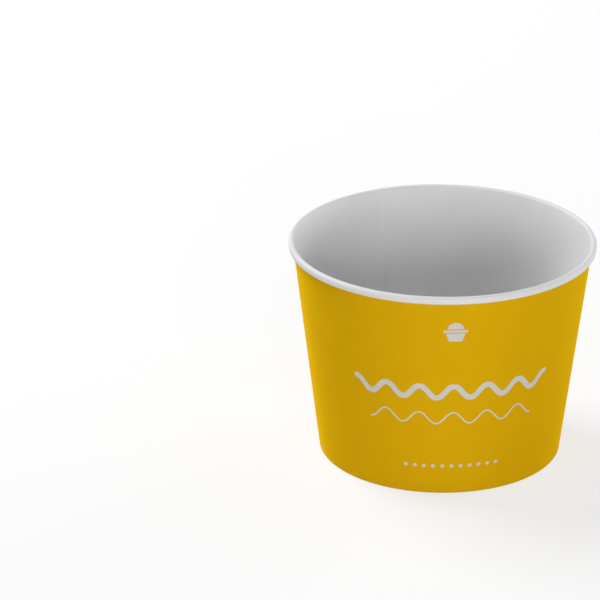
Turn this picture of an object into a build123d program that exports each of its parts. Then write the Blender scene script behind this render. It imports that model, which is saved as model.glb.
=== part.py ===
"""Paper ice cream cup: two paper blanks sealed to each other.

The side wall is one blank, rolled into a cone with a lapped side seam. Its upper edge is curled
outwards into the rim and its lower edge is folded in and up into the foot hem. The base disc is a
flat panel with a turned-down skirt, held between the wall and the hem.

The origin is the centre of the ring that the cup stands on, +Z is up and -Y is the printed front.
Lengths are in millimetres and angles in degrees.
"""

import os
from math import asin, atan2, cos, degrees, radians, sin, tan

from build123d import *

# Overall sizes
rim_diameter = 66.0  # over the curled rim
foot_diameter = 52.3  # over the wall's outer face, produced down to the ground
cup_height = 47.8

# Paper
wall_thickness = 0.35
base_thickness = 0.30
seal_gap = 0.02  # the seal layer between two faces of paper

# Curled rim
curl_hollow = 0.53  # inside width of the curl
curl_side = 0.52  # upright stretch on the outside of the curl
lip_bend = 0.15  # inside radius where the curl turns back in below
lip_gap = 0.05  # from the curl's free edge to the wall

# Folded foot
fold_bend = 0.05  # inside radius of the two corners of the fold
hem_gap = 0.35  # from the hem's free edge up to the bend of the base disc

# Base disc
base_recess = 5.0  # from the ground up to the underside of the panel
base_bend = 0.45  # inside radius between the panel and the skirt
skirt_gap = 0.2  # from the skirt's free edge down to the fold

# Side seam
seam_angle = 106.0  # where the middle of the overlap lies, from +X towards +Y
seam_overlap = 7.0  # along the wall's outer face, at mid height
seam_fade = 26.0  # turn over which each lap rises from the wall to its free edge
lap_run = 0.95  # part of that turn which stands proud, up to where the lap has sunk into the wall
lap_root = 0.8  # depth of the lap's own section, in wall thicknesses
lap_gap = 0.1  # from an end of a lap to the curl above or the panel below it

# The wall's taper: its outer face starts at the foot and touches the hollow of the curl
rim_radius = rim_diameter / 2
foot_radius = foot_diameter / 2
curl_bend = (curl_hollow + wall_thickness) / 2
curl_centre = Vector(rim_radius - wall_thickness / 2 - curl_bend, cup_height - wall_thickness / 2 - curl_bend)
curl_reach = curl_centre - Vector(foot_radius, 0)
taper = degrees(atan2(curl_reach.X, curl_reach.Y) - asin(curl_hollow / 2 / curl_reach.length))
wall_up = Vector(sin(radians(taper)), cos(radians(taper)))
wall_out = Vector(cos(radians(taper)), -sin(radians(taper)))
taper_slope = tan(radians(taper))
face_width = wall_thickness / cos(radians(taper))  # the wall's thickness, measured level

# The middle of the sheet, at the points where its straight runs end
corner_bend = fold_bend + wall_thickness / 2
corner_height = corner_bend + wall_thickness / 2
corner_inset = corner_height * (1 - wall_up.X) / wall_up.Y
outer_corner = Vector(foot_radius - corner_inset, corner_height)
hem_distance = wall_thickness + base_thickness + 2 * seal_gap
foot_width = (hem_distance - 2 * corner_bend) / wall_up.Y
inner_corner = outer_corner - Vector(foot_width, 0)
wall_foot = outer_corner + wall_out * corner_bend
wall_top = curl_centre - wall_out * curl_bend
hem_foot = inner_corner - wall_out * corner_bend
hem_height = base_recess - base_bend - hem_gap
hem_top = hem_foot + wall_up * ((hem_height - hem_foot.Y) / wall_up.Y)

# The curl's lower edge, turned in to the wall
lip_radius = lip_bend + wall_thickness / 2
lip_level = curl_centre.Y - curl_side - lip_radius
lip_edge = foot_radius + (lip_level + wall_thickness / 2) * taper_slope + lip_gap
lip_length = rim_radius - wall_thickness / 2 - lip_radius - lip_edge

# The middle of the base disc's sheet
disc_bend = base_bend + base_thickness / 2
disc_level = base_recess + base_thickness / 2
skirt_inset = wall_thickness / 2 + seal_gap + base_thickness / 2
bend_height = disc_level - disc_bend
bend_rise = (bend_height - wall_foot.Y) * wall_up.X
bend_radius = wall_foot.X + (bend_rise - skirt_inset - disc_bend) / wall_up.Y
skirt_top = Vector(bend_radius, bend_height) + wall_out * disc_bend
skirt_drop = skirt_top.Y - wall_thickness - skirt_gap - base_thickness / 2 * wall_up.X

# The laps of the seam, each half a sheet proud of the wall at its free edge
lap_rise = wall_thickness / 2
lap_shift = lap_rise / sin(radians(seam_fade))
half_overlap = degrees(seam_overlap / 2 / (foot_radius + cup_height / 2 * taper_slope))
outer_edge = seam_angle - half_overlap
inner_edge = seam_angle + half_overlap
outer_lap_foot = wall_foot.Y
outer_lap_top = lip_level - wall_thickness / 2 - lap_gap
inner_lap_foot = base_recess + base_thickness + lap_gap
inner_lap_top = wall_top.Y


def upright_plane(angle, shift_angle):
    """An upright plane at a turn about +Z, through an axis moved sideways by the laps' shift."""
    centre = Vector(lap_shift, 0).rotate(Axis.Z, shift_angle)
    outward = Vector(1, 0).rotate(Axis.Z, angle)
    return Plane(centre, x_dir=outward, z_dir=outward.cross(Vector(0, 0, 1)))


def lap_outline(inner_radius, lap_foot, lap_top):
    """The corners of a lap's section, a sheared strip along the wall, from its radius at the ground."""
    foot_point = Vector(inner_radius + lap_foot * taper_slope, lap_foot)
    top_point = Vector(inner_radius + lap_top * taper_slope, lap_top)
    across = Vector(lap_root * face_width, 0)
    return [foot_point, foot_point + across, top_point + across, top_point]


# Side wall: the sheet from the hem's free edge, round the foot and up the wall to the curl's free edge
with BuildPart() as side_wall:
    with BuildSketch(Plane.XZ):
        with BuildLine():
            hem = Line(hem_top, hem_foot)
            inner_fold = JernArc(hem @ 1, hem % 1, corner_bend, 90 + taper)
            foot = PolarLine(inner_fold @ 1, foot_width, direction=inner_fold % 1)
            outer_fold = JernArc(foot @ 1, foot % 1, corner_bend, 90 - taper)
            wall = Line(outer_fold @ 1, wall_top)
            curl = JernArc(wall @ 1, wall % 1, curl_bend, taper - 180)
            upright = PolarLine(curl @ 1, curl_side, direction=curl % 1)
            lip = JernArc(upright @ 1, upright % 1, lip_radius, -90)
            PolarLine(lip @ 1, lip_length, direction=lip % 1)
        trace(line_width=wall_thickness)
    revolve(axis=Axis.Z)

    # The outer lap, with its free edge at the start of its turn
    outer_plane = upright_plane(outer_edge, outer_edge + seam_fade - 90)
    with BuildSketch(outer_plane):
        Polygon(*lap_outline(foot_radius - lap_root * face_width, outer_lap_foot, outer_lap_top), align=None)
    revolve(axis=Axis(outer_plane.origin, (0, 0, 1)), revolution_arc=seam_fade * lap_run)

    # The inner lap, with its free edge at the end of its turn
    inner_plane = upright_plane(inner_edge - seam_fade * lap_run, inner_edge - seam_fade - 90)
    with BuildSketch(inner_plane):
        Polygon(*lap_outline(foot_radius - face_width, inner_lap_foot, inner_lap_top), align=None)
    revolve(axis=Axis(inner_plane.origin, (0, 0, 1)), revolution_arc=seam_fade * lap_run)

# Base disc: the panel from its centre to the bend, and the skirt down to the fold
with BuildPart() as base_disc:
    with BuildSketch(Plane.XZ):
        with BuildLine():
            panel = Line((0, disc_level), (bend_radius, disc_level))
            bend = JernArc(panel @ 1, panel % 1, disc_bend, -90 - taper)
            PolarLine(bend @ 1, skirt_drop / wall_up.Y, direction=bend % 1)
        trace(line_width=base_thickness)
    revolve(axis=Axis.Z)

side_wall.part.label = "side_wall"
base_disc.part.label = "base_disc"

os.makedirs("parts", exist_ok=True)
export_step(side_wall.part, "parts/side_wall.step")
export_step(base_disc.part, "parts/base_disc.step")
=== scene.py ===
"""Looks of a paper ice cream cup: coated board printed yellow outside, white inside, with a curled rim.

The side wall and the base disc are turned here as fine meshes of the two paper blanks, in the frame's own
place and size, and finished with procedural board, ink and cut-edge materials.
"""

import cmath
import math

import bmesh
import bpy
import numpy as np
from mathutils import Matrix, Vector


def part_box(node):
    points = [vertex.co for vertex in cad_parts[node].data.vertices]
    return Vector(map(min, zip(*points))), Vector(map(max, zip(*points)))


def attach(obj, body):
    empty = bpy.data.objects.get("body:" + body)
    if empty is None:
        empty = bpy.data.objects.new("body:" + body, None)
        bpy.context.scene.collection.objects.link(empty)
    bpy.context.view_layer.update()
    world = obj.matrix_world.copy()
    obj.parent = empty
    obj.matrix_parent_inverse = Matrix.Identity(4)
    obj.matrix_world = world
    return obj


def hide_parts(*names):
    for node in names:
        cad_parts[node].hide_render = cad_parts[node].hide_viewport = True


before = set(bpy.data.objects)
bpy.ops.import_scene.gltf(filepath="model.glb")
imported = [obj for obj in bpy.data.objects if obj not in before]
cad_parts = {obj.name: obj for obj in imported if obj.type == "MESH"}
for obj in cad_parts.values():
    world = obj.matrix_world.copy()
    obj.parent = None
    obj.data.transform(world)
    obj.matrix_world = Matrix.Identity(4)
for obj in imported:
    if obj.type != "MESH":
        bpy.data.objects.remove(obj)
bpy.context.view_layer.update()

mm = 0.001

# The cup's own sizes, from the frame
wall_low, wall_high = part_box("side_wall")
rim_radius = (wall_high.x - wall_low.x) / 2
cup_height = wall_high.z

# Sizes of the paper and its folds
foot_radius = 26.15 * mm
wall_thickness = 0.35 * mm
base_thickness = 0.30 * mm
seal_gap = 0.02 * mm
curl_hollow = 0.53 * mm
curl_side = 0.52 * mm
lip_bend = 0.15 * mm
lip_gap = 0.05 * mm
fold_bend = 0.05 * mm
hem_gap = 0.35 * mm
base_recess = 5.0 * mm
base_bend = 0.45 * mm
skirt_gap = 0.2 * mm

# Side seam: its middle as a turn about +Z from +X, and how its two laps stand proud and fade
seam_middle = math.radians(106.0)
seam_overlap = 7.0 * mm
seam_fade = math.radians(26.0)
lap_rise = 0.6 * wall_thickness
curl_lap_share = 0.7
skive_width = 0.7 * mm
cut_width = 0.015 * mm
cut_shows_from = 0.2

# Ends of the laps: how far they stay from the foot, the base and the lip, and how they run out there
lap_above_foot = 0.6 * mm
lap_above_base = 0.5 * mm
lap_run_out = 0.8 * mm
lap_below_lip = 0.4 * mm
lip_run_out = 0.5 * mm

# Small unevenness of formed paper, with the waves round the wall as count, share and start
wall_waver = 0.05 * mm
waver_waves = [(2, 0.6, 0.7), (5, 0.3, 2.1), (9, 0.2, 0.0)]
waver_start = 2.0 * mm
knurl_depth = 0.1 * mm
knurl_count = 90
pleat_depth = 0.05 * mm
pleat_count = 72
base_crown = 0.18 * mm

# Fineness of the meshes
wall_columns = 360
base_columns = 288
weld_distance = 0.001 * mm
sharp_angle = math.radians(40)

# Printed motif: its turn to the right of the front, and its rows' heights and soft edge in millimetres
print_turn = math.radians(3.3)
emblem_row = 39.3
bold_row = 24.9
thin_row = 18.6
dot_row = 6.8
ink_edge = 0.06

# Emblem, in millimetres from its row: a round scoop cut flat, the bar of the dish's edge, and the dish
scoop_radius = 1.75
scoop_middle = 0.55
scoop_foot = 0.75
bar_half_width = 2.6
bar_half_height = 0.28
bar_middle = 0.2
dish_half_width = 2.15
dish_half_height = 0.95
dish_middle = -1.25
dish_flare = 0.35

# Rows of waves and dots, in millimetres and counts
wave_length = 7.2
wave_swing = 1.35
bold_stroke = 1.25
bold_waves = 6
thin_stroke = 0.33
thin_waves = 5
dot_pitch = 1.95
dot_radius = 0.42
dot_count = 11

# Map of the wall for baking, as shares of its width and height, and the room for each run of the sheet
front_turn = math.radians(270)
front_half_turn = math.radians(60)
across_marks = (0.006, 0.2, 0.79, 0.992)
lap_cut_end = 0.998
printed_strip = (0.006, 0.53)
white_strip = (0.54, 0.95)
lip_cut_strip = (0.957, 0.972)
hem_cut_strip = (0.98, 0.995)
printed_room = {"hem": 1.0, "fold": 1.0, "wall": 1.0, "curl": 0.2, "lip": 0.2}
white_room = {"hem": 0.2, "fold": 0.2, "wall": 0.75, "curl": 1.6, "lip": 1.6}

# Map of the disc for baking, as complex numbers: share of its width plus share of its height times i
disc_top_middle = 0.25 + 0.5j
disc_under_middle = 0.75 + 0.5j
disc_face_reach = 0.235
disc_cut_reach = 0.245

# Stage: the floor, how white it looks, and the light that comes from all round
floor_reach = 3.0
floor_drop = 0.02 * mm
floor_white = 0.7
ambient_level = 0.19
plain_white = (1, 1, 1, 1)

# Light panels, with their turn from the front to the right and their lift in degrees
panel_distance = 0.9
light_panels = [
    dict(name="key_panel", turn=-127, lift=43, width=0.6, height=0.6, level=0.96),
    dict(name="front_panel", turn=9, lift=9, width=0.5, height=0.33, level=0.6),
    dict(name="right_panel", turn=124, lift=9, width=0.5, height=0.33, level=0.47),
]

# Camera: its place in front of the cup, how far it looks down, and its lens and sensor in millimetres
camera_place = (-30.48 * mm, -725.35 * mm, 338.835 * mm)
camera_dip = math.radians(22.825)
camera_lens = 219.14
camera_sensor = 36.0
camera_near = 10 * mm


# Section of the paper, as complex numbers: radius plus height times i

curl_bend = (curl_hollow + wall_thickness) / 2
curl_inset = wall_thickness / 2 + curl_bend
curl_centre = complex(rim_radius - curl_inset, cup_height - curl_inset)
curl_reach = curl_centre - foot_radius
taper = math.atan2(curl_reach.real, curl_reach.imag) - math.asin(curl_hollow / 2 / abs(curl_reach))
taper_slope = math.tan(taper)
wall_up = complex(math.sin(taper), math.cos(taper))
wall_out = wall_up * -1j

corner_bend = fold_bend + wall_thickness / 2
corner_height = corner_bend + wall_thickness / 2
outer_corner = complex(foot_radius - corner_height * (1 - wall_up.real) / wall_up.imag, corner_height)
hem_distance = wall_thickness + base_thickness + 2 * seal_gap
foot_width = (hem_distance - 2 * corner_bend) / wall_up.imag
inner_corner = outer_corner - foot_width
wall_foot = outer_corner + wall_out * corner_bend
wall_top = curl_centre - wall_out * curl_bend
hem_foot = inner_corner - wall_out * corner_bend
hem_length = (base_recess - base_bend - hem_gap - hem_foot.imag) / wall_up.imag

lip_radius = lip_bend + wall_thickness / 2
lip_level = curl_centre.imag - curl_side - lip_radius
lip_edge = foot_radius + (lip_level + wall_thickness / 2) * taper_slope + lip_gap
lip_length = rim_radius - wall_thickness / 2 - lip_radius - lip_edge

disc_bend = base_bend + base_thickness / 2
disc_level = base_recess + base_thickness / 2
skirt_inset = wall_thickness / 2 + seal_gap + base_thickness / 2
bend_height = disc_level - disc_bend
bend_rise = (bend_height - wall_foot.imag) * wall_up.real
bend_radius = wall_foot.real + (bend_rise - skirt_inset - disc_bend) / wall_up.imag
skirt_top = complex(bend_radius, bend_height) + wall_out * disc_bend
skirt_end = wall_thickness + skirt_gap + base_thickness / 2 * wall_up.real
skirt_length = (skirt_top.imag - skirt_end) / wall_up.imag

# Turns of the seam's edges
seam_half_turn = seam_overlap / 2 / (foot_radius + cup_height / 2 * taper_slope)
outer_edge = seam_middle - seam_half_turn
inner_edge = seam_middle + seam_half_turn
skive_turn = skive_width / foot_radius
cut_turn = cut_width / foot_radius


class SheetLine:
    """The middle of a sheet in section, drawn run by run from one free edge to the other."""

    def __init__(self, start, heading):
        self.points = [start]
        self.headings = [heading]
        self.runs = []

    def straight(self, name, length, steps):
        start = self.points[-1]
        heading = self.headings[-1]
        for step in range(1, steps + 1):
            self.points.append(start + heading * length * step / steps)
            self.headings.append(heading)
            self.runs.append(name)

    def bend(self, name, radius, turn, steps):
        """Turns to the left, or to the right by a negative angle, about a centre beside the sheet."""
        start = self.points[-1]
        heading = self.headings[-1]
        centre = start + heading * math.copysign(radius, turn) * 1j
        for step in range(1, steps + 1):
            spin = cmath.exp(1j * turn * step / steps)
            self.points.append(centre + (start - centre) * spin)
            self.headings.append(heading * spin)
            self.runs.append(name)

    def middle(self):
        return np.array(self.points)

    def right_side(self):
        """Unit steps from the middle to the face on the right of the line."""
        return np.array(self.headings) * -1j

    def point_runs(self):
        """The name of the run that starts at each point, or ends at the last one."""
        return np.array(self.runs + self.runs[-1:])

    def lengths(self):
        return np.abs(np.diff(self.middle()))


def side_wall_line():
    line = SheetLine(hem_foot + wall_up * hem_length, -wall_up)
    line.straight("hem", hem_length, steps=6)
    line.bend("fold", corner_bend, math.pi / 2 + taper, steps=8)
    line.straight("fold", foot_width, steps=1)
    line.bend("fold", corner_bend, math.pi / 2 - taper, steps=8)
    line.straight("wall", abs(wall_top - wall_foot), steps=28)
    line.bend("curl", curl_bend, taper - math.pi, steps=20)
    line.straight("curl", curl_side, steps=2)
    line.bend("lip", lip_radius, -math.pi / 2, steps=9)
    line.straight("lip", lip_length, steps=1)
    return line


def base_disc_line():
    line = SheetLine(complex(0, disc_level), complex(1, 0))
    line.straight("panel", bend_radius, steps=20)
    line.bend("bend", disc_bend, -math.pi / 2 - taper, steps=10)
    line.straight("skirt", skirt_length, steps=5)
    return line


def ramp(values, start, end):
    """Rises smoothly from 0 at start to 1 at end."""
    share = np.clip((values - start) / (end - start), 0, 1)
    return share * share * (3 - 2 * share)


def turned_mesh(name, rings, turns):
    """A closed mesh from section points: a row for each point of the outline, a column for each turn."""
    rows, columns = rings.shape
    places = np.stack([rings.real * np.cos(turns), rings.real * np.sin(turns), rings.imag], axis=-1)
    row, column = np.meshgrid(np.arange(rows), np.arange(columns), indexing="ij")
    next_row = (row + 1) % rows
    next_column = (column + 1) % columns
    corners = [(row, column), (row, next_column), (next_row, next_column), (next_row, column)]
    faces = np.stack([r * columns + c for r, c in corners], axis=-1)
    mesh = bpy.data.meshes.new(name)
    mesh.from_pydata(places.reshape(-1, 3), [], faces.reshape(-1, 4))
    return mesh


def finished_piece(name, mesh, finishes, node):
    """Closes and smooths a turned mesh and puts it in the place of its CAD node."""
    work = bmesh.new()
    work.from_mesh(mesh)
    bmesh.ops.remove_doubles(work, verts=work.verts, dist=weld_distance)
    stray_edges = [edge for edge in work.edges if edge.is_wire]
    bmesh.ops.delete(work, geom=stray_edges, context="EDGES")
    bmesh.ops.recalc_face_normals(work, faces=work.faces)
    work.to_mesh(mesh)
    work.free()
    mesh.shade_smooth()
    mesh.set_sharp_from_angle(angle=sharp_angle)
    for finish in finishes:
        mesh.materials.append(finish)
    piece = bpy.data.objects.new(name, mesh)
    bpy.context.scene.collection.objects.link(piece)
    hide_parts(node)
    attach(piece, "root")
    return piece


# Side wall

def wall_turns():
    """Turns of the wall's columns: even steps from the outer lap's edge, and the seam's other edges."""
    even = outer_edge + np.arange(wall_columns) * math.tau / wall_columns
    edges = [inner_edge, inner_edge + skive_turn, outer_edge + math.tau - cut_turn]
    return np.unique(np.append(even, edges))


def lap_shares(turns):
    """How proud the outer and the inner lap stand round the cup: 1 at a lap's edge, fading away from it."""
    outer = 1 - (turns - outer_edge) / seam_fade
    past_inner = (turns - inner_edge + math.pi) % math.tau - math.pi
    inner = np.where(past_inner < 0, 1 + past_inner / seam_fade, 1 - past_inner / skive_turn)
    return np.clip(outer, 0, 1), np.clip(inner, 0, 1)


def lap_reaches(runs, height):
    """How proud the outer and the inner lap stand along the sheet, as shares of their rise."""
    on_wall = runs == "wall"
    on_curl = runs == "curl"
    lap_top = lip_level - lap_below_lip
    lap_bottom = base_recess + lap_above_base
    off_foot = ramp(height, lap_above_foot, lap_above_foot + lap_run_out)
    at_lip = ramp(height, lap_top - lip_run_out, lap_top)
    off_base = ramp(height, lap_bottom, lap_bottom + lap_run_out)
    outer = on_wall * off_foot * (1 - at_lip)
    inner = np.maximum(on_wall * off_base, on_curl * curl_lap_share)
    return outer, inner


def wall_wavers(turns, height):
    """How far the wall wavers in from true round, most at the rim and not at all at the foot."""
    waves = sum(share * np.sin(count * turns + start) for count, share, start in waver_waves)
    most = sum(share for _, share, _ in waver_waves)
    return wall_waver * (waves - most) * ramp(height, waver_start, cup_height)


def make_side_wall(printed, lining, cut):
    """The rolled blank: printed face, white face, cut edges, both laps of the seam and the knurled hem."""
    line = side_wall_line()
    middle = line.middle()[:, None]
    right = line.right_side()[:, None]
    runs = line.point_runs()[:, None]
    turns = wall_turns()
    outer_share, inner_share = lap_shares(turns)
    outer_reach, inner_reach = lap_reaches(runs, middle.imag)
    knurl = (runs == "hem") * np.cos(knurl_count * turns) * knurl_depth / 2
    waver = wall_wavers(turns, middle.imag)

    outer_half = wall_thickness / 2 + lap_rise * outer_share * outer_reach + knurl
    inner_half = wall_thickness / 2 + lap_rise * inner_share * inner_reach
    printed_face = middle + right * outer_half + waver
    white_face = middle - right * inner_half + waver
    white_face = np.minimum(white_face.real, rim_radius) + 1j * np.minimum(white_face.imag, cup_height)
    mesh = turned_mesh("side_wall", np.concatenate([printed_face, white_face[::-1]]), turns)
    share_out_wall(mesh, outer_reach[:, 0] > cut_shows_from, len(turns))
    lay_out_wall_map(mesh, line, turns)
    return finished_piece("cup_side_wall", mesh, [printed, lining, cut], "side_wall")


def share_out_wall(mesh, lap_cut_shows, columns):
    """Gives each face its finish: printed or white board, or the cut edge of lip, hem or outer lap."""
    printed, lining, cut = range(3)
    steps = len(lap_cut_shows) - 1
    rows = [printed] * steps + [cut] + [lining] * steps + [cut]
    wears = np.repeat(rows, columns).reshape(-1, columns)
    wears[:steps, -1] = np.where(lap_cut_shows[:-1], cut, printed)
    mesh.polygons.foreach_set("material_index", wears.ravel())


def lay_out_wall_map(mesh, line, turns):
    """A map of the blank for baking: the printed front gets the most room, hidden faces the least."""
    front_middle = front_turn + print_turn
    marks = [turns[0], front_middle - front_half_turn, front_middle + front_half_turn, turns[-1]]
    across = np.append(np.interp(turns, marks, across_marks), lap_cut_end)
    printed_rooms = line.lengths() * [printed_room[run] for run in line.runs]
    white_rooms = line.lengths() * [white_room[run] for run in line.runs]
    printed_low, printed_high = split_strip(printed_rooms, *printed_strip)
    white_low, white_high = split_strip(white_rooms[::-1], *white_strip)
    low = np.concatenate([printed_low, lip_cut_strip[:1], white_low, hem_cut_strip[:1]])[:, None]
    high = np.concatenate([printed_high, lip_cut_strip[1:], white_high, hem_cut_strip[1:]])[:, None]
    start = across[:-1]
    end = across[1:]
    write_map(mesh, [start + 1j * low, end + 1j * low, end + 1j * high, start + 1j * high])


def split_strip(rooms, start, end):
    """Splits a strip of a map by the rooms that its rows get: where each row starts, and where it ends."""
    edges = start + (end - start) * np.append(0, np.cumsum(rooms)) / rooms.sum()
    return edges[:-1], edges[1:]


def write_map(mesh, corners):
    """Stores where each face's four corners lie on the map for baking, as complex numbers."""
    places = np.stack(corners, axis=-1)
    pairs = np.stack([places.real, places.imag], axis=-1)
    layer = mesh.uv_layers.new(name="OFBake")
    layer.data.foreach_set("uv", pairs.astype(np.float32).ravel())


# Base disc

def make_base_disc(board, underside):
    """The pressed disc: a panel with a slight crown, a pleated bend and a skirt that the hem holds."""
    line = base_disc_line()
    middle = line.middle()[:, None]
    right = line.right_side()[:, None]
    runs = line.point_runs()[:, None]
    turns = np.arange(base_columns) * math.tau / base_columns
    crown = (runs == "panel") * base_crown * np.clip(1 - (middle.real / bend_radius) ** 2, 0, 1) * 1j
    pleats = (runs == "bend") * (np.cos(pleat_count * turns) - 1) * pleat_depth / 2
    top_face = middle - right * (base_thickness / 2 + pleats) + crown
    under_face = np.broadcast_to(middle + right * base_thickness / 2 + crown, top_face.shape)
    mesh = turned_mesh("base_disc", np.concatenate([under_face, top_face[::-1]]), turns)
    top_finish, under_finish = range(2)
    wears = np.repeat([under_finish, top_finish], top_face.size)
    mesh.polygons.foreach_set("material_index", wears)
    lay_out_disc_map(mesh, line, turns)
    return finished_piece("cup_base_disc", mesh, [board, underside], "base_disc")


def lay_out_disc_map(mesh, line, turns):
    """A map of the disc for baking: both faces as round sheets, with the cut edge round the lower one."""
    along = np.append(0, np.cumsum(line.lengths()))
    reach = disc_face_reach * along / along[-1]
    start = np.concatenate([reach, reach[::-1]])[:, None]
    end = np.concatenate([reach[1:], [disc_cut_reach], reach[-2::-1], [0]])[:, None]
    under = (np.arange(len(start)) < len(reach))[:, None]
    middle = np.where(under, disc_under_middle, disc_top_middle)
    spin = np.exp(np.where(under, -1j, 1j) * turns)
    next_spin = np.roll(spin, -1, axis=1)
    corners = [start * spin, start * next_spin, end * next_spin, end * spin]
    write_map(mesh, [middle + corner for corner in corners])


# Finishes

noise_roughness = 0.55


def srgb(red, green, blue):
    """A colour given as it looks on a screen, from 0 to 255, as the linear colour that a shader takes."""
    shares = [level / 255 for level in (red, green, blue)]
    linear = [s / 12.92 if s <= 0.04045 else ((s + 0.055) / 1.055) ** 2.4 for s in shares]
    return (*linear, 1.0)


class Field:
    """A number that varies over a surface. Arithmetic on it adds Math nodes to its finish."""

    def __init__(self, finish, socket):
        self.finish = finish
        self.socket = socket

    def math(self, operation, *terms, clamp=False):
        settings = {"operation": operation, "use_clamp": clamp}
        node = self.finish.node("ShaderNodeMath", settings, dict(enumerate(terms)))
        return Field(self.finish, node.outputs[0])

    def __add__(self, other):
        return self.math("ADD", self, other)

    def __sub__(self, other):
        return self.math("SUBTRACT", self, other)

    def __rsub__(self, other):
        return self.math("SUBTRACT", other, self)

    def __mul__(self, other):
        return self.math("MULTIPLY", self, other)

    def __truediv__(self, other):
        return self.math("DIVIDE", self, other)

    def __rtruediv__(self, other):
        return self.math("DIVIDE", other, self)

    def __abs__(self):
        return self.math("ABSOLUTE", self)

    __radd__ = __add__
    __rmul__ = __mul__

    def sine(self):
        return self.math("SINE", self)

    def cosine(self):
        return self.math("COSINE", self)

    def root(self):
        return self.math("SQRT", self)

    def at_least(self, other):
        return self.math("MAXIMUM", self, other)

    def at_most(self, other):
        return self.math("MINIMUM", self, other)

    def wrapped(self, half):
        """The value brought between -half and half by whole steps of twice that."""
        return self.math("WRAP", self, half, -half)

    def angle_beside(self, other):
        """The angle whose sine goes with this value and whose cosine goes with the other."""
        return self.math("ARCTAN2", self, other)

    def inked(self):
        """1 where a distance in millimetres is below zero and 0 above, with a soft edge like ink's."""
        return self.math("MULTIPLY_ADD", self, -1 / ink_edge, 0.5, clamp=True)


class NodeWork:
    """Adds nodes to a material's or the world's tree."""

    def __init__(self, owner):
        owner.use_nodes = True
        self.tree = owner.node_tree
        self.tree.nodes.clear()

    def node(self, kind, settings=None, inputs=None):
        """A node of a type, with its settings made first and then the values or links of its sockets."""
        node = self.tree.nodes.new(kind)
        for name, value in (settings or {}).items():
            setattr(node, name, value)
        for name, value in (inputs or {}).items():
            self.feed(node.inputs[name], value)
        return node

    def feed(self, socket, value):
        if isinstance(value, Field):
            value = value.socket
        if isinstance(value, bpy.types.NodeSocket):
            self.tree.links.new(value, socket)
        else:
            socket.default_value = value

    def background_rays(self):
        """1 for the camera's own rays and those that gloss or a clear surface sends on, 0 for light."""
        path = self.node("ShaderNodeLightPath").outputs
        camera = Field(self, path["Is Camera Ray"])
        gloss = Field(self, path["Is Glossy Ray"])
        clear = Field(self, path["Is Transmission Ray"])
        return camera.at_least(gloss).at_least(clear)


class Finish(NodeWork):
    """A material made of nodes, with the cup's own coordinates in millimetres."""

    def __init__(self, name):
        self.material = bpy.data.materials.new(name)
        super().__init__(self.material)
        self.place = self.node("ShaderNodeTexCoord").outputs["Object"]

    def axes(self):
        """The three coordinates, in millimetres."""
        apart = self.node("ShaderNodeSeparateXYZ", None, {"Vector": self.place})
        return [Field(self, apart.outputs[axis]) * (1 / mm) for axis in "XYZ"]

    def noise(self, grain, detail, stretch=(1, 1, 1)):
        """Cloudy noise from about -0.5 to 0.5, with its grain in millimetres, stretched along the axes."""
        scale = [1 / (grain * mm * s) for s in stretch]
        spread = self.node("ShaderNodeVectorMath", {"operation": "MULTIPLY"}, {0: self.place, 1: scale})
        inputs = {"Vector": spread.outputs[0], "Scale": 1.0, "Detail": detail, "Roughness": noise_roughness}
        node = self.node("ShaderNodeTexNoise", {"noise_dimensions": "3D"}, inputs)
        return Field(self, node.outputs[0]) - 0.5

    def mix(self, share, colour, other):
        """A colour that goes from one to another with a share from 0 to 1."""
        # A Mix node repeats its names for each kind of value: 6 and 7 take the colours, and 2 gives one
        node = self.node("ShaderNodeMix", {"data_type": "RGBA"}, {0: share, 6: colour, 7: other})
        return node.outputs[2]

    def surface(self, colour, roughness, relief, constants=None):
        """Ends the material: a relief in millimetres bends the light, and constants go to their sockets."""
        bump = self.node("ShaderNodeBump", None, {"Strength": 1.0, "Distance": mm, "Height": relief})
        inputs = {"Base Color": colour, "Roughness": roughness, "Normal": bump.outputs[0]}
        shader = self.node("ShaderNodeBsdfPrincipled", None, {**inputs, **(constants or {})})
        self.node("ShaderNodeOutputMaterial", None, {"Surface": shader.outputs[0]})
        return self.material


def wave_stroke(around, up, stroke, waves):
    """Distance in millimetres to a waved stroke with round ends, below zero on the stroke."""
    half_run = waves * wave_length / 2
    phase = abs(around).at_most(half_run) * (math.tau / wave_length)
    slope = phase.sine() * (wave_swing * math.tau / wave_length)
    off = (up - phase.cosine() * wave_swing) / (slope * slope + 1).root()
    past = (abs(around) - half_run).at_least(0)
    return (off * off + past * past).root() - stroke / 2


def dot_chain(around, up):
    """Distance to a row of dots, an odd number with one in the middle."""
    step = around.wrapped(dot_pitch / 2)
    dots = (step * step + up * up).root() - dot_radius
    return dots.at_least(abs(around) - dot_count * dot_pitch / 2)


def scoop_emblem(around, up):
    """Distance to a small scoop in a dish."""
    above = up - scoop_middle
    scoop = ((around * around + above * above).root() - scoop_radius).at_least(scoop_foot - up)
    bar = (abs(around) - bar_half_width).at_least(abs(up - bar_middle) - bar_half_height)
    dish_side = abs(around) - up * dish_flare - dish_half_width
    dish = dish_side.at_least(abs(up - dish_middle) - dish_half_height)
    return scoop.at_most(bar).at_most(dish)


def print_motif(finish):
    """1 on the motif, which lies in four rows on the front of the wall, and 0 on the ink round it."""
    x, y, z = finish.axes()
    turn = x.angle_beside(y * -1) - print_turn

    def row(level):
        """Millimetres round the wall from the motif's middle, and up the wall from a row's height."""
        row_radius = foot_radius / mm + level * taper_slope
        return turn * row_radius, (z - level) / math.cos(taper)

    emblem = scoop_emblem(*row(emblem_row))
    bold = wave_stroke(*row(bold_row), bold_stroke, bold_waves)
    thin = wave_stroke(*row(thin_row), thin_stroke, thin_waves)
    dots = dot_chain(*row(dot_row))
    return emblem.at_most(bold).at_most(thin).at_most(dots).inked()


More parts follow.
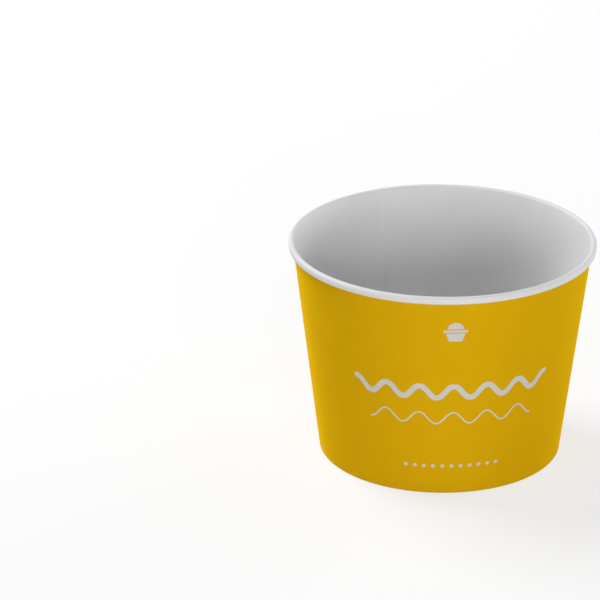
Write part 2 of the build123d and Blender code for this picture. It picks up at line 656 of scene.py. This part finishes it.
def printed_board():
    """Coated board under yellow ink, with the motif left white and a sheen towards the edges."""
    finish = Finish("printed_board")
    motif = print_motif(finish)
    fibre = finish.noise(grain=0.35, detail=3.0)
    cloud = finish.noise(grain=7.0, detail=2.0)
    tooth = finish.noise(grain=0.11, detail=1.0)
    deep_ink = srgb(217, 168, 9)
    pale_ink = srgb(223, 175, 14)
    dull_white = srgb(206, 203, 197)
    clear_white = srgb(216, 214, 210)
    ink = finish.mix(cloud * 0.9 + fibre * 0.5 + 0.5, deep_ink, pale_ink)
    bare = finish.mix(fibre + 0.5, dull_white, clear_white)
    colour = finish.mix(motif, ink, bare)
    roughness = 0.58 + fibre * 0.12 + cloud * 0.08 + motif * 0.05
    relief = fibre * 0.006 + tooth * 0.002 + cloud * 0.02
    constants = {
        "Specular IOR Level": 0.0,
        "Sheen Weight": 0.8,
        "Sheen Roughness": 0.4,
        "Sheen Tint": srgb(255, 205, 25),
    }
    return finish.surface(colour, roughness, relief, constants)


def white_board(name, light, dark, roughness):
    """Coated white board, with the faint cloud of its fibres."""
    finish = Finish(name)
    fibre = finish.noise(grain=0.45, detail=3.0)
    cloud = finish.noise(grain=9.0, detail=2.0)
    colour = finish.mix(fibre * 0.8 + cloud * 0.8 + 0.5, dark, light)
    varied = roughness + fibre * 0.14 + cloud * 0.08
    relief = fibre * 0.006 + cloud * 0.025
    return finish.surface(colour, varied, relief, {"Specular IOR Level": 0.15})


def cut_edge():
    """The bare cut of the board, with its layers of fibre."""
    finish = Finish("cut_edge")
    layers = finish.noise(grain=0.12, detail=2.0, stretch=(6, 6, 1))
    fibre = finish.noise(grain=0.2, detail=3.0)
    dark_fibre = srgb(205, 196, 178)
    light_fibre = srgb(240, 236, 226)
    colour = finish.mix(layers + fibre + 0.5, dark_fibre, light_fibre)
    roughness = 0.9 + fibre * 0.1
    relief = layers * 0.02
    return finish.surface(colour, roughness, relief)


# Stage, light and camera

def floor_card():
    """Pale card that looks nearly white, keeps the cup's shadow and lights the cup as grey card would."""
    finish = Finish("pale_floor")
    seen = finish.background_rays()
    cloud = finish.noise(grain=40.0, detail=2.0)
    dark_card = srgb(186, 186, 185)
    light_card = srgb(194, 194, 193)
    seen_card = srgb(252, 252, 252)
    card = finish.mix(cloud + 0.5, dark_card, light_card)
    colour = finish.mix(seen, card, seen_card)
    board = finish.node("ShaderNodeBsdfDiffuse", None, {"Color": colour})
    white = finish.node("ShaderNodeEmission", None, {"Color": plain_white, "Strength": 1.0})
    shaders = {0: seen * floor_white, 1: board.outputs[0], 2: white.outputs[0]}
    both = finish.node("ShaderNodeMixShader", None, shaders)
    finish.node("ShaderNodeOutputMaterial", None, {"Surface": both.outputs[0]})
    return finish.material


def make_floor():
    """A wide square of card just under the cup."""
    corners = [(-1, -1), (1, -1), (1, 1), (-1, 1)]
    places = [(x * floor_reach, y * floor_reach, -floor_drop) for x, y in corners]
    mesh = bpy.data.meshes.new("floor")
    mesh.from_pydata(places, [], [(0, 1, 2, 3)])
    mesh.materials.append(floor_card())
    floor = bpy.data.objects.new("floor", mesh)
    bpy.context.scene.collection.objects.link(floor)


def make_world():
    """White where the camera or a reflection looks past the floor, and a soft grey light elsewhere."""
    world = bpy.data.worlds.new("studio")
    bpy.context.scene.world = world
    sky = NodeWork(world)
    strength = sky.background_rays() * (1 - ambient_level) + ambient_level
    white = sky.node("ShaderNodeBackground", None, {"Color": plain_white, "Strength": strength})
    sky.node("ShaderNodeOutputWorld", None, {"Surface": white.outputs[0]})


def make_panel(name, turn, lift, width, height, level):
    """A soft panel aimed at the cup, which lights a white face that looks at it to the level asked for."""
    turn = math.radians(turn)
    lift = math.radians(lift)
    aim = Vector((0, 0, cup_height / 2))
    away = Vector((math.sin(turn) * math.cos(lift), -math.cos(turn) * math.cos(lift), math.sin(lift)))
    light = bpy.data.lights.new(name, "AREA")
    light.shape = "RECTANGLE"
    light.size = width
    light.size_y = height
    light.energy = level * (math.pi * panel_distance) ** 2
    panel = bpy.data.objects.new(name, light)
    panel.location = aim + away * panel_distance
    panel.rotation_euler = away.to_track_quat("Z", "Y").to_euler()
    bpy.context.scene.collection.objects.link(panel)


def make_camera():
    """The camera, level from side to side, at the photograph's viewing angle."""
    data = bpy.data.cameras.new("camera")
    data.sensor_width = camera_sensor
    data.lens = camera_lens
    data.clip_start = camera_near
    camera = bpy.data.objects.new("camera", data)
    camera.location = camera_place
    camera.rotation_euler = (math.pi / 2 - camera_dip, 0, 0)
    bpy.context.scene.collection.objects.link(camera)
    bpy.context.scene.camera = camera


lining = white_board("white_lining", srgb(232, 232, 233), srgb(223, 223, 224), roughness=0.52)
base_board = white_board("base_board", srgb(232, 232, 232), srgb(222, 222, 222), roughness=0.55)
base_underside = white_board("base_underside", srgb(224, 222, 216), srgb(213, 210, 203), roughness=0.75)
make_side_wall(printed_board(), lining, cut_edge())
make_base_disc(base_board, base_underside)

make_floor()
make_world()
for panel in light_panels:
    make_panel(**panel)
make_camera()
bpy.context.scene.view_settings.view_transform = "Standard"
